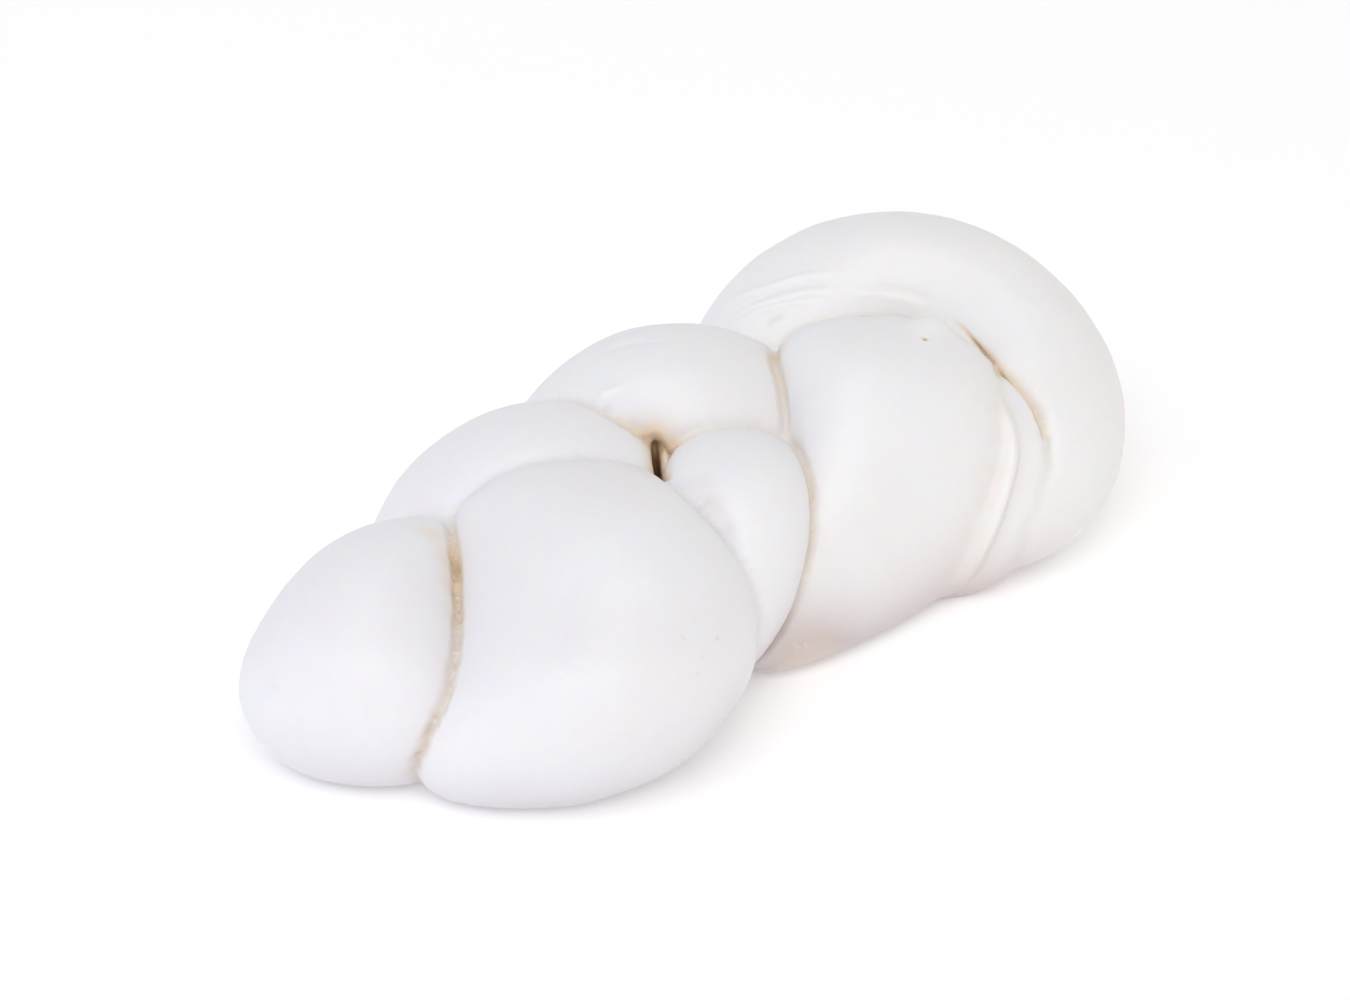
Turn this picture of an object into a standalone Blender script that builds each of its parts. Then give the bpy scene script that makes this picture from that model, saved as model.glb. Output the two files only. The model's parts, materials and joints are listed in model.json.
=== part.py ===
"""Braided mozzarella: a three-strand plait of stretched curd, folded at its far end.

X runs from the two loose ends to the fold, Y to the left and Z up, in metres.
Each visible lobe of the plait is a soft spindle, lofted along its own run of the strand.
The spindles are pressed into one solid, which lies on a flat foot.
"""

import math

import bpy
import numpy as np

NAME = "mozzarella_braid"

# Real size: every station below is in millimetres of the shaping frame, times this.
REAL_SCALE = 0.957
MM = 0.001

# The curd settles on its board: below this height the lobes flatten out.
SETTLE_HEIGHT = 6.0
FOOT_HEIGHT = 2.6

# How boxy a strand's cross-section is: 2 is an ellipse.
SECTION_POWER = 2.2
WIDE_SECTION_POWER = 2.8
CAP_POWER = 0.9

# How strongly the run's speed follows the distance between two stations: 1 is in full.
SPACING_POWER = 0.75

# Mesh density of the solid.
AROUND = 30
ROWS_PER_RUN = 4
CAP_ROWS = 5
SHARP_ANGLE = math.radians(40.0)

# The slab that cuts the foot flat, in metres.
BOARD_HALF = 0.15
BOARD_DEPTH = 0.05

CURD_COLOUR = (0.90, 0.88, 0.84, 1.0)
CURD_ROUGHNESS = 0.4

# One row a station: x, y, z, half width, half height, roll in degrees and, where the section
# doesn't lie square to the run, the heading of its width in degrees (0 elsewhere).
WIDE_LOBE = (
    (53, 9, 26, 16, 10, 0, -25),
    (51.5, 2, 33, 19.5, 15, -4, -24),
    (49, -8, 34, 23, 17, -8, -20),
    (46, -16, 31, 25, 19, -6, -14),
    (38.2, -22.5, 24, 31, 18, 0, -8),
    (32.4, -27, 15, 34, 15, 0, -3),
    (27.4, -29, 8, 34, 12, 0, 2),
)
SIDE_FLAP = (
    (63, -6, 34, 5, 8, 0, -20),
    (64, -19, 34.5, 7, 9, 0, -16),
    (63, -28, 30, 10, 12, 0, -10),
    (60, -31.5, 22, 12.5, 14, 0, -6),
    (54, -30.5, 13, 13, 14, 0, -2),
    (50, -28, 7, 14, 12, 0, 0.5),
)
SIDE_PLEAT = (
    (62, -20, 37.5, 1.5, 4, 0, -16),
    (61.5, -28, 38, 2.1, 5, 0, -14),
    (58.5, -35.3, 33.5, 2.4, 5.6, 0, -10),
    (51, -38, 25, 3.2, 6.6, 0, -8),
    (46, -37, 16, 3.8, 7, 0, -4),
    (43, -34.5, 8, 4.2, 6.5, 0, -2),
)
LEFT_NEAR_LOBE = (
    (34, -8, 13, 16, 12, 0, 0),
    (20, -12, 12, 20, 12, 0, 0),
    (7, -13, 13, 22, 12, 0, 0),
    (-2, -3, 19, 18.5, 13, 0, 0),
    (-14, 9, 28, 20.5, 16, 0, 0),
    (-28, 14.5, 28.5, 20.5, 17.5, 0, 0),
    (-42, 14.5, 22, 19.5, 16.5, 0, 0),
    (-54, 6, 14, 17, 12, 0, 0),
    (-62, -2, 13, 14, 11, 0, 0),
)
LEFT_MID_LOBE = (
    (52, -18, 13, 17, 12, 0, 0),
    (44, -7, 14, 20, 13, 0, 0),
    (32, 6, 23, 20, 14, 0, 0),
    (19, 14.5, 31.5, 21.5, 17, 0, 0),
    (2, 21, 27.5, 21, 18.5, 0, 0),
    (-11, 18.5, 17.5, 20, 15.5, 0, 0),
    (-18, 8, 13, 16, 12, 0, 0),
)
FAR_FOLD = (
    (46, -12, 13, 17, 12, 0, 0),
    (57, -23, 14, 20, 14, 0, 0),
    (70, -28, 20, 20.5, 18, 0, 0),
    (84, -15, 25.5, 18.8, 20.5, 0, 0),
    (86, 8, 28.5, 18.8, 23.5, 0, 0),
    (76, 24.5, 28.5, 20.7, 23.5, 0, 0),
    (58, 30.5, 25, 20.5, 20.5, 0, 0),
    (42, 24, 17, 19.5, 15, 0, 0),
    (30, 14, 13, 17, 12, 0, 0),
)
RIGHT_MID_LOBE = (
    (36, 20, 13, 17, 12, 0, 0),
    (26, 9, 13, 18, 12, 0, 0),
    (14, -4, 21, 17, 14.5, 0, 0),
    (2, -17, 31.5, 16, 15, 0, 0),
    (-7, -25, 24, 16, 15, 0, 0),
    (-16, -24, 14, 17, 13, 0, 0),
    (-26, -18, 12, 16, 11, 0, 0),
)
FRONT_BULB = (
    (-11, 8.5, 17, 15, 10, 0, -37),
    (-19.5, 3, 23.5, 20.5, 15, -3, -37),
    (-26, -3.5, 26, 26.8, 20.5, -4, -37),
    (-31, -15.5, 25, 30, 23.2, 0, -37),
    (-37, -26, 23.2, 30.5, 23.4, 4, -37),
    (-43.5, -32.5, 20.8, 30.2, 22.6, 9, -37),
    (-51.5, -36, 17, 30.4, 22.2, 16, -37),
)
END_BULB = (
    (-35, 13.5, 14, 14, 11, 0, -37),
    (-49, 9.5, 17, 16, 14, 4, -37),
    (-59.5, 6, 21.5, 16.5, 18.7, 9, -37),
    (-69.5, 2.5, 22.4, 19, 20.8, 12, -39),
    (-76.5, -3, 20.8, 22, 21, 11, -41),
    (-81.5, -9, 17.4, 23.6, 20.8, 8, -43),
)
HEART = (
    (-64, -8, 18, 14, 10, 0, 0),
    (-40, -8, 20, 20, 13, 0, 0),
    (-10, -2, 22, 22, 14, 0, 0),
    (20, 0, 22, 22, 14, 0, 0),
    (46, 1, 18, 20, 15, 0, 0),
    (66, 4, 16, 17, 14.5, 0, 0),
)
KNOB = (
    (58.5, 1, 42, 1.8, 2.4, 0, 0),
    (61, -5, 44.3, 2.6, 3.4, 0, 0),
    (63.2, -11.5, 43.8, 2.5, 3.8, 0, 0),
    (65, -16.5, 40.5, 1.8, 3.4, 0, 0),
)
# The slit left open between the near left lobe and the right lobe in front of it.
SLIT = (
    (-1, 5, 33.5, 2.3, 6.5, 0, 0),
    (-4, 0, 34.6, 1.9, 7, 0, 0),
    (-7, -5, 35.8, 1.2, 6, 0, 0),
    (-9, -9, 36.3, 0.6, 4.5, 0, 0),
)

# Name, stations, how far each rounded end reaches, in half thicknesses, and how boxy its section is.
LOBES = (
    ("far_fold", FAR_FOLD, 1.0, 1.0, SECTION_POWER),
    ("wide_lobe", WIDE_LOBE, 0.8, 0.9, WIDE_SECTION_POWER),
    ("side_flap", SIDE_FLAP, 0.8, 1.0, SECTION_POWER),
    ("side_pleat", SIDE_PLEAT, 0.8, 1.0, SECTION_POWER),
    ("left_mid_lobe", LEFT_MID_LOBE, 1.0, 1.0, SECTION_POWER),
    ("right_mid_lobe", RIGHT_MID_LOBE, 1.0, 1.0, SECTION_POWER),
    ("left_near_lobe", LEFT_NEAR_LOBE, 1.0, 1.0, SECTION_POWER),
    ("front_bulb", FRONT_BULB, 1.0, 0.91, SECTION_POWER),
    ("end_bulb", END_BULB, 1.0, 0.75, SECTION_POWER),
    ("knob", KNOB, 1.0, 1.0, SECTION_POWER),
    ("heart", HEART, 1.0, 1.0, SECTION_POWER),
)
CUTS = (("slit", SLIT, 0.3, 1.0, SECTION_POWER),)


def clear_scene():
    """Removes whatever the new file holds."""
    for obj in list(bpy.data.objects):
        bpy.data.objects.remove(obj, do_unlink=True)


def run_through(stations, rows_per_run):
    """A smooth run through the stations: Catmull-Rom, spaced by the stations' own distances."""
    points = np.array(stations, float)
    steps = np.linalg.norm(np.diff(points[:, :3], axis=0), axis=1) ** SPACING_POWER
    count = len(points)
    slopes = np.zeros_like(points)
    slopes[0] = (points[1] - points[0]) / steps[0]
    slopes[-1] = (points[-1] - points[-2]) / steps[-1]
    for i in range(1, count - 1):
        before = (points[i] - points[i - 1]) / steps[i - 1]
        after = (points[i + 1] - points[i]) / steps[i]
        slopes[i] = (before * steps[i] + after * steps[i - 1]) / (steps[i] + steps[i - 1])
    rows = []
    for i in range(count - 1):
        for t in np.linspace(0.0, 1.0, rows_per_run, endpoint=False):
            rows.append(
                (2 * t**3 - 3 * t**2 + 1) * points[i]
                + (t**3 - 2 * t**2 + t) * steps[i] * slopes[i]
                + (3 * t**2 - 2 * t**3) * points[i + 1]
                + (t**3 - t**2) * steps[i] * slopes[i + 1]
            )
    rows.append(points[-1])
    return np.array(rows)


def unit(vectors):
    return vectors / np.linalg.norm(vectors, axis=-1, keepdims=True)


def section_frames(run):
    """Along, across and upright directions of each section of a run."""
    along = unit(np.gradient(run[:, :3], axis=0))
    if np.any(run[:, 6] != 0):
        heading = np.radians(run[:, 6])
        across = np.stack([np.cos(heading), np.sin(heading), 0 * heading], axis=1)
    else:
        across = unit(np.cross([0.0, 0.0, 1.0], along))
    upright = unit(np.cross(along, across))
    roll = np.radians(run[:, 5])[:, None]
    rolled_across = across * np.cos(roll) + upright * np.sin(roll)
    rolled_upright = upright * np.cos(roll) - across * np.sin(roll)
    return along, rolled_across, rolled_upright


def lobe_rows(stations, first_cap, last_cap, power, around, rows_per_run, cap_rows):
    """The rings of one lobe, from pole to pole, and its two poles, in millimetres."""
    run = run_through(stations, rows_per_run)
    centre = run[:, :3]
    width = run[:, 3]
    height = run[:, 4]
    along, across, upright = section_frames(run)
    turn = np.linspace(0.0, 2 * math.pi, around, endpoint=False)
    side = np.sign(np.cos(turn)) * np.abs(np.cos(turn)) ** (2 / power)
    rise = np.sign(np.sin(turn)) * np.abs(np.sin(turn)) ** (2 / power)

    def ring(at, i, shrink):
        wide = np.outer(side * width[i] * shrink, across[i])
        return at + wide + np.outer(rise * height[i] * shrink, upright[i])

    reach = first_cap * min(width[0], height[0])
    rings = []
    for k in range(cap_rows - 1, 0, -1):
        angle = k / cap_rows * math.pi / 2
        at = centre[0] - along[0] * reach * math.sin(angle)
        rings.append(ring(at, 0, math.cos(angle) ** CAP_POWER))
    for i in range(len(run)):
        rings.append(ring(centre[i], i, 1.0))
    first_pole = centre[0] - along[0] * reach
    reach = last_cap * min(width[-1], height[-1])
    for k in range(1, cap_rows):
        angle = k / cap_rows * math.pi / 2
        at = centre[-1] + along[-1] * reach * math.sin(angle)
        rings.append(ring(at, -1, math.cos(angle) ** CAP_POWER))
    last_pole = centre[-1] + along[-1] * reach
    return np.array(rings), first_pole, last_pole


def settled(points):
    """Points pressed down onto the board: heights below the settling height flatten out."""
    points = points.copy()
    low = points[..., 2] < SETTLE_HEIGHT
    sunk = np.minimum((points[..., 2] - SETTLE_HEIGHT) / SETTLE_HEIGHT, 0.0)
    points[..., 2] = np.where(low, SETTLE_HEIGHT * np.exp(sunk), points[..., 2])
    return points


def lobe_object(name, stations, first_cap, last_cap, power):
    """One lobe as a closed mesh object in metres."""
    shape = (stations, first_cap, last_cap, power)
    rings, first_pole, last_pole = lobe_rows(*shape, AROUND, ROWS_PER_RUN, CAP_ROWS)
    count = len(rings)
    points = np.vstack([rings.reshape(-1, 3), first_pole, last_pole])
    points = settled(points) * REAL_SCALE * MM
    faces = []
    for i in range(count - 1):
        for j in range(AROUND):
            k = (j + 1) % AROUND
            faces.append((i * AROUND + j, i * AROUND + k, (i + 1) * AROUND + k, (i + 1) * AROUND + j))
    first = count * AROUND
    last = first + 1
    for j in range(AROUND):
        k = (j + 1) % AROUND
        faces.append((first, k, j))
        faces.append((last, (count - 1) * AROUND + j, (count - 1) * AROUND + k))
    corners = np.array([[points[f[0]], points[f[1]], points[f[2]]] for f in faces])
    volume = np.einsum("ij,ij->i", corners[:, 0], np.cross(corners[:, 1], corners[:, 2])).sum()
    if volume < 0:
        faces = [tuple(reversed(f)) for f in faces]
    mesh = bpy.data.meshes.new(name)
    mesh.from_pydata([tuple(p) for p in points], [], faces)
    mesh.update()
    return bpy.data.objects.new(name, mesh)


def apply_boolean(obj, operation, **operand):
    """Applies one Boolean to an object."""
    modifier = obj.modifiers.new("join", "BOOLEAN")
    modifier.operation = operation
    modifier.solver = "MANIFOLD"
    for key, value in operand.items():
        setattr(modifier, key, value)
    bpy.context.view_layer.update()
    graph = bpy.context.evaluated_depsgraph_get()
    made = bpy.data.meshes.new_from_object(obj.evaluated_get(graph))
    obj.modifiers.remove(modifier)
    obj.data = made


def board_cutter():
    """A slab that takes off what lies below the foot."""
    top = FOOT_HEIGHT * REAL_SCALE * MM
    sides = (-BOARD_HALF, BOARD_HALF)
    corners = [(x, y, z) for z in (-BOARD_DEPTH, top) for y in sides for x in sides]
    faces = [(0, 2, 3, 1), (4, 5, 7, 6), (0, 1, 5, 4), (1, 3, 7, 5), (3, 2, 6, 7), (2, 0, 4, 6)]
    mesh = bpy.data.meshes.new("board_cutter")
    mesh.from_pydata(corners, [], faces)
    return bpy.data.objects.new("board_cutter", mesh)


def curd_material():
    material = bpy.data.materials.new("buffalo_curd")
    material.use_nodes = True
    shader = material.node_tree.nodes["Principled BSDF"]
    shader.inputs["Base Color"].default_value = CURD_COLOUR
    shader.inputs["Roughness"].default_value = CURD_ROUGHNESS
    shader.inputs["Metallic"].default_value = 0.0
    return material


def keep_outer_shell(mesh):
    """Leaves the outer surface alone, without any hollow or sliver that the joining left."""
    mesh.calc_loop_triangles()
    faces = [tuple(triangle.vertices) for triangle in mesh.loop_triangles]
    sides = {}
    for i, face in enumerate(faces):
        for start, end in zip(face, face[1:] + face[:1]):
            sides.setdefault(frozenset((start, end)), []).append(i)
    parent = list(range(len(faces)))

    def root(i):
        while parent[i] != i:
            parent[i] = parent[parent[i]]
            i = parent[i]
        return i

    for neighbours in sides.values():
        if len(neighbours) == 2:
            parent[root(neighbours[0])] = root(neighbours[1])
    shells = {}
    for i, face in enumerate(faces):
        shells.setdefault(root(i), []).append(face)
    outer = max(shells.values(), key=len)
    used = sorted({v for face in outer for v in face})
    index = {v: i for i, v in enumerate(used)}
    kept = bpy.data.meshes.new(NAME)
    kept.from_pydata(
        [tuple(mesh.vertices[v].co) for v in used],
        [],
        [tuple(index[v] for v in face) for face in outer],
    )
    kept.update()
    return kept


def main():
    clear_scene()
    scene = bpy.context.scene
    scene.unit_settings.system = "METRIC"
    scene.unit_settings.scale_length = 1.0
    product = bpy.data.collections.new("braided_mozzarella")
    scene.collection.children.link(product)
    pieces = bpy.data.collections.new("lobe_pieces")
    scene.collection.children.link(pieces)

    made = [lobe_object(*lobe) for lobe in LOBES]
    body = made[0]
    product.objects.link(body)
    for piece in made[1:]:
        pieces.objects.link(piece)
    apply_boolean(body, "UNION", operand_type="COLLECTION", collection=pieces)
    for cutter in [lobe_object(*cut) for cut in CUTS] + [board_cutter()]:
        pieces.objects.link(cutter)
        apply_boolean(body, "DIFFERENCE", operand_type="OBJECT", object=cutter)
    for piece in list(pieces.objects):
        bpy.data.objects.remove(piece, do_unlink=True)
    bpy.data.collections.remove(pieces)

    body.name = NAME
    body.data = keep_outer_shell(body.data)
    spots = np.array([v.co[:] for v in body.data.vertices])
    low = spots.min(axis=0)
    high = spots.max(axis=0)
    shift = np.array([-(low[0] + high[0]) / 2, -(low[1] + high[1]) / 2, -low[2]])
    for vertex, spot in zip(body.data.vertices, spots + shift):
        vertex.co = spot
    body.data.materials.append(curd_material())
    body.data.shade_smooth()
    body.data.set_sharp_from_angle(angle=SHARP_ANGLE)
    body.data.update()


main()
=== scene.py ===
"""Braided mozzarella: the looks of the plait of stretched curd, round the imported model.

X runs from the two loose ends to the fold, Y to the left and Z up.
The plait is one mesh. Each lobe is lofted along its strand, and the lobes are pressed into one body.
Shapes are worked out in shaping millimetres, and the finished mesh is laid into the solid's box.
"""

import json
import math

import bpy
import numpy as np
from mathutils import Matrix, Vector, kdtree, noise

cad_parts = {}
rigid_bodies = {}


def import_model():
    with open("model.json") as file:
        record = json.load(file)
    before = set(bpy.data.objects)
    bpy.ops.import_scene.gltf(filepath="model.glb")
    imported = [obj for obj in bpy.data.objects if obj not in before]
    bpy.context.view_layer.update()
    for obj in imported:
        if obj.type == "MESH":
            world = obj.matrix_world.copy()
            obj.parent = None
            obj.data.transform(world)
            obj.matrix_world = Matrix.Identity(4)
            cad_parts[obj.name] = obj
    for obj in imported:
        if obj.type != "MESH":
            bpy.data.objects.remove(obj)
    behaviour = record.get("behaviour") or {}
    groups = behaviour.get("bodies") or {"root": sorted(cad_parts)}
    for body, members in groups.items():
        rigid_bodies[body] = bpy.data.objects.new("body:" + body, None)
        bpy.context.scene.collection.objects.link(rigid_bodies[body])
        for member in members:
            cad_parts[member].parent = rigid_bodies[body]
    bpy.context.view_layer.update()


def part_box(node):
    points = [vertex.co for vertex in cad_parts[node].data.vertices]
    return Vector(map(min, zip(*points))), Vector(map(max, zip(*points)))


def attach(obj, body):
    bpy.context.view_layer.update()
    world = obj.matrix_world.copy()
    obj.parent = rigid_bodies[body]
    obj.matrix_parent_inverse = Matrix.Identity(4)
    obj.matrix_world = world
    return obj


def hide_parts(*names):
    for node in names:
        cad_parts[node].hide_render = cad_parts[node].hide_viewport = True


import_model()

NODE = "mozzarella_braid"

# The curd settles on its board: below the first height the lobes flatten out, and at the second
# they are cut off flat.
SETTLE_HEIGHT = 6.0
FOOT_HEIGHT = 2.6

# How boxy a strand's cross-section is, where 2 is an ellipse, and how its ends are rounded, where 1
# is a half ellipse and less is fuller.
SECTION_POWER = 2.2
WIDE_SECTION_POWER = 2.8
CAP_POWER = 0.9

# How strongly the run's speed follows the distance between two stations: 1 is in full.
SPACING_POWER = 0.75

# Distance between neighbouring points of a lobe's surface, the most rows of points over a rounded
# end, the width in rows of the bell that evens them, and the steps in which a girth is measured.
POINT_SPACING = 1.0
CAP_ROWS = 26
EVEN_ROWS = 7
GIRTH_STEPS = 2880

# One row a station: x, y, z, half width, half height, roll in degrees and, where the section
# doesn't lie square to the run, the heading of its width in degrees (0 elsewhere).
WIDE_LOBE = (
    (53, 9, 26, 16, 10, 0, -25),
    (51.5, 2, 33, 19.5, 15, -4, -24),
    (49, -8, 34, 23, 17, -8, -20),
    (46, -16, 31, 25, 19, -6, -14),
    (38.2, -22.5, 24, 31, 18, 0, -8),
    (32.4, -27, 15, 34, 15, 0, -3),
    (27.4, -29, 8, 34, 12, 0, 2),
)
SIDE_FLAP = (
    (63, -6, 34, 5, 8, 0, -20),
    (64, -19, 34.5, 7, 9, 0, -16),
    (63, -28, 30, 10, 12, 0, -10),
    (60, -31.5, 22, 12.5, 14, 0, -6),
    (54, -30.5, 13, 13, 14, 0, -2),
    (50, -28, 7, 14, 12, 0, 0.5),
)
SIDE_PLEAT = (
    (62, -20, 37.5, 1.5, 4, 0, -16),
    (61.5, -28, 38, 2.1, 5, 0, -14),
    (58.5, -35.3, 33.5, 2.4, 5.6, 0, -10),
    (51, -38, 25, 3.2, 6.6, 0, -8),
    (46, -37, 16, 3.8, 7, 0, -4),
    (43, -34.5, 8, 4.2, 6.5, 0, -2),
)
LEFT_NEAR_LOBE = (
    (34, -8, 13, 16, 12, 0, 0),
    (20, -12, 12, 20, 12, 0, 0),
    (7, -13, 13, 22, 12, 0, 0),
    (-2, -3, 19, 18.5, 13, 0, 0),
    (-14, 9, 28, 20.5, 16, 0, 0),
    (-28, 14.5, 28.5, 20.5, 17.5, 0, 0),
    (-42, 14.5, 22, 19.5, 16.5, 0, 0),
    (-54, 6, 14, 17, 12, 0, 0),
    (-62, -2, 13, 14, 11, 0, 0),
)
LEFT_MID_LOBE = (
    (52, -18, 13, 17, 12, 0, 0),
    (44, -7, 14, 20, 13, 0, 0),
    (32, 6, 23, 20, 14, 0, 0),
    (19, 14.5, 31.5, 21.5, 17, 0, 0),
    (2, 21, 27.5, 21, 18.5, 0, 0),
    (-11, 18.5, 17.5, 20, 15.5, 0, 0),
    (-18, 8, 13, 16, 12, 0, 0),
)
FAR_FOLD = (
    (46, -12, 13, 17, 12, 0, 0),
    (57, -23, 14, 20, 14, 0, 0),
    (70, -28, 20, 20.5, 18, 0, 0),
    (84, -15, 25.5, 18.8, 20.5, 0, 0),
    (86, 8, 28.5, 18.8, 23.5, 0, 0),
    (76, 24.5, 28.5, 20.7, 23.5, 0, 0),
    (58, 30.5, 25, 20.5, 20.5, 0, 0),
    (42, 24, 17, 19.5, 15, 0, 0),
    (30, 14, 13, 17, 12, 0, 0),
)
RIGHT_MID_LOBE = (
    (36, 20, 13, 17, 12, 0, 0),
    (26, 9, 13, 18, 12, 0, 0),
    (14, -4, 21, 17, 14.5, 0, 0),
    (2, -17, 31.5, 16, 15, 0, 0),
    (-7, -25, 24, 16, 15, 0, 0),
    (-16, -24, 14, 17, 13, 0, 0),
    (-26, -18, 12, 16, 11, 0, 0),
)
FRONT_BULB = (
    (-11, 8.5, 17, 15, 10, 0, -37),
    (-19.5, 3, 23.5, 20.5, 15, -3, -37),
    (-26, -3.5, 26, 26.8, 20.5, -4, -37),
    (-31, -15.5, 25, 30, 23.2, 0, -37),
    (-37, -26, 23.2, 30.5, 23.4, 4, -37),
    (-43.5, -32.5, 20.8, 30.2, 22.6, 9, -37),
    (-51.5, -36, 17, 30.4, 22.2, 16, -37),
)
END_BULB = (
    (-35, 13.5, 14, 14, 11, 0, -37),
    (-49, 9.5, 17, 16, 14, 4, -37),
    (-59.5, 6, 21.5, 16.5, 18.7, 9, -37),
    (-69.5, 2.5, 22.4, 19, 20.8, 12, -39),
    (-76.5, -3, 20.8, 22, 21, 11, -41),
    (-81.5, -9, 17.4, 23.6, 20.8, 8, -43),
)
HEART = (
    (-64, -8, 18, 14, 10, 0, 0),
    (-40, -8, 20, 20, 13, 0, 0),
    (-10, -2, 22, 22, 14, 0, 0),
    (20, 0, 22, 22, 14, 0, 0),
    (46, 1, 18, 20, 15, 0, 0),
    (66, 4, 16, 17, 14.5, 0, 0),
)
KNOB = (
    (58.5, 1, 42, 1.8, 2.4, 0, 0),
    (61, -5, 44.3, 2.6, 3.4, 0, 0),
    (63.2, -11.5, 43.8, 2.5, 3.8, 0, 0),
    (65, -16.5, 40.5, 1.8, 3.4, 0, 0),
)
# The slit left open between the near left lobe and the right lobe in front of it.
SLIT = (
    (-1.5, 4, 34, 0.8, 5.5, 0, 0),
    (-4, 0, 34.6, 0.9, 6.5, 0, 0),
    (-7, -5, 35.8, 0.8, 6, 0, 0),
    (-9, -9, 36.3, 0.6, 4.5, 0, 0),
)

# Name, stations, how far each rounded end reaches, in half thicknesses, and how boxy its section is.
LOBES = (
    ("far_fold", FAR_FOLD, 1.0, 1.0, SECTION_POWER),
    ("wide_lobe", WIDE_LOBE, 0.8, 0.9, WIDE_SECTION_POWER),
    ("side_flap", SIDE_FLAP, 0.8, 1.0, SECTION_POWER),
    ("side_pleat", SIDE_PLEAT, 0.8, 1.0, SECTION_POWER),
    ("left_mid_lobe", LEFT_MID_LOBE, 1.0, 1.0, SECTION_POWER),
    ("right_mid_lobe", RIGHT_MID_LOBE, 1.0, 1.0, SECTION_POWER),
    ("left_near_lobe", LEFT_NEAR_LOBE, 1.0, 1.0, SECTION_POWER),
    ("front_bulb", FRONT_BULB, 1.0, 0.91, SECTION_POWER),
    ("end_bulb", END_BULB, 1.0, 0.75, SECTION_POWER),
    ("knob", KNOB, 1.0, 1.0, SECTION_POWER),
    ("heart", HEART, 1.0, 1.0, SECTION_POWER),
)
CUTS = (("slit", SLIT, 0.3, 1.0, SECTION_POWER),)

# How far a lobe's surface swells and dips, the size of the swells and of the ripples on them, and
# how high the ripples are beside the swells.
PLAIN_SWELL = 0.35
SWELLS = {"far_fold": 0.4, "front_bulb": 0.4, "wide_lobe": 0.45, "knob": 0.1, "slit": 0.0}
SWELL_SIZE = 17
RIPPLE_SIZE = 6
RIPPLE_SHARE = 0.3

# Two lobes: how deep the groove between them is pinched and how wide, its tint, which is painted
# shade and warm bounce light, and how far to its sides the curd has run together.
PLAIN_GROOVE = (0.8, 1.3, 0.2, 0.6)
GROOVES = {
    ("end_bulb", "front_bulb"): (1.7, 0.7, 0.42, 0.3),
    ("front_bulb", "left_near_lobe"): (0.8, 1.4, 0.0, 0.8),
    ("end_bulb", "left_near_lobe"): (1.0, 1.4, 0.05, 0.6),
    ("front_bulb", "right_mid_lobe"): (0.9, 1.3, 0.05, 0.6),
    ("left_near_lobe", "right_mid_lobe"): (1.2, 1.2, 0.5, 0.5),
    ("left_mid_lobe", "left_near_lobe"): (1.0, 1.3, 0.16, 0.6),
    ("left_mid_lobe", "right_mid_lobe"): (0.9, 1.3, 0.18, 0.6),
    ("right_mid_lobe", "wide_lobe"): (1.5, 0.75, 0.34, 0.3),
    ("left_mid_lobe", "wide_lobe"): (1.4, 0.8, 0.3, 0.3),
    ("far_fold", "wide_lobe"): (1.2, 1.4, 0.05, 0.6),
    ("far_fold", "left_mid_lobe"): (1.0, 1.4, 0.1, 0.8),
    ("far_fold", "side_flap"): (1.0, 1.2, 0.15, 0.5),
    ("side_flap", "side_pleat"): (0.35, 0.6, 0.1, 2.0),
    ("side_pleat", "wide_lobe"): (0.2, 2.4, 0.0, 4.5),
    ("side_flap", "wide_lobe"): (0.3, 1.2, 0.05, 2.0),
    ("knob", "wide_lobe"): (0.2, 1.0, 0.0, 1.2),
    ("far_fold", "knob"): (0.9, 0.8, 0.75, 0.3),
}

# A groove is where the surface folds inwards by more than the least fold, in radians, and it is at
# its deepest from the full fold on. It sets in so far above the foot, and reaches full depth and
# tint over so much more height.
LEAST_FOLD = math.radians(12)
FULL_FOLD = 1.1
GROOVE_FOOT = 1.0
GROOVE_FADE = 6.0

# How strongly and how often the curd that has run together is softened.
SOFT_SHARE = 0.6
SOFT_ROUNDS = 24

# How far a groove's values are evened along it, how far its painted shade tint reaches to its
# sides, and how often tints are averaged with their neighbours'.
LINE_EVEN = 4.0
TINT_REACH = 0.5
TINT_ROUNDS = 5

# How far the painted shade beside a groove reaches, and how deep the groove is where that shade is full.
SHADE_REACH = 3.2
SHADE_DEPTH = 2.0

# How often relief is averaged with its neighbours', and how often the directions it is pressed in.
RELIEF_ROUNDS = 3
DIRECTION_ROUNDS = 30

# The cut's rim: how far it is rounded, its painted shade tint, and that tint so far down its walls.
RIM_SOFT = 1.5
RIM_PAINTED_SHADE = 0.3
WALL_DEPTH = 5.0
WALL_PAINTED_SHADE = 1.0

# Where a groove is deeper and its painted shade tint darker and wider: its place, its reach and its
# strength.
DEEPER_GROOVE_SPOTS = (
    (68.8, -22.0, 40.6, 4.0, 0.6),
    (68.6, -31.0, 38.8, 5.0, 0.35),
    (67.0, -37.5, 36.0, 4.5, 0.2),
    (-56.6, 2.4, 39.0, 5.0, 0.4),
    (-57.0, -4.3, 37.1, 5.0, 0.4),
    (-61.6, -12.3, 34.3, 5.0, 0.26),
    (-76.0, -26.0, 18.0, 8.0, 0.1),
    (-1.5, 0.5, 36.5, 5.0, 0.6),
    (-4.8, 7.7, 41.5, 5.0, 0.4),
    (-7.7, 15.7, 42.8, 5.0, 0.1),
    (35.6, 7.0, 42.0, 6.0, 0.3),
    (13.0, -28.0, 33.0, 6.0, 0.15),
)
SPOT_DEEPENS = 0.5
SPOT_WIDENS = 0.6
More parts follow.
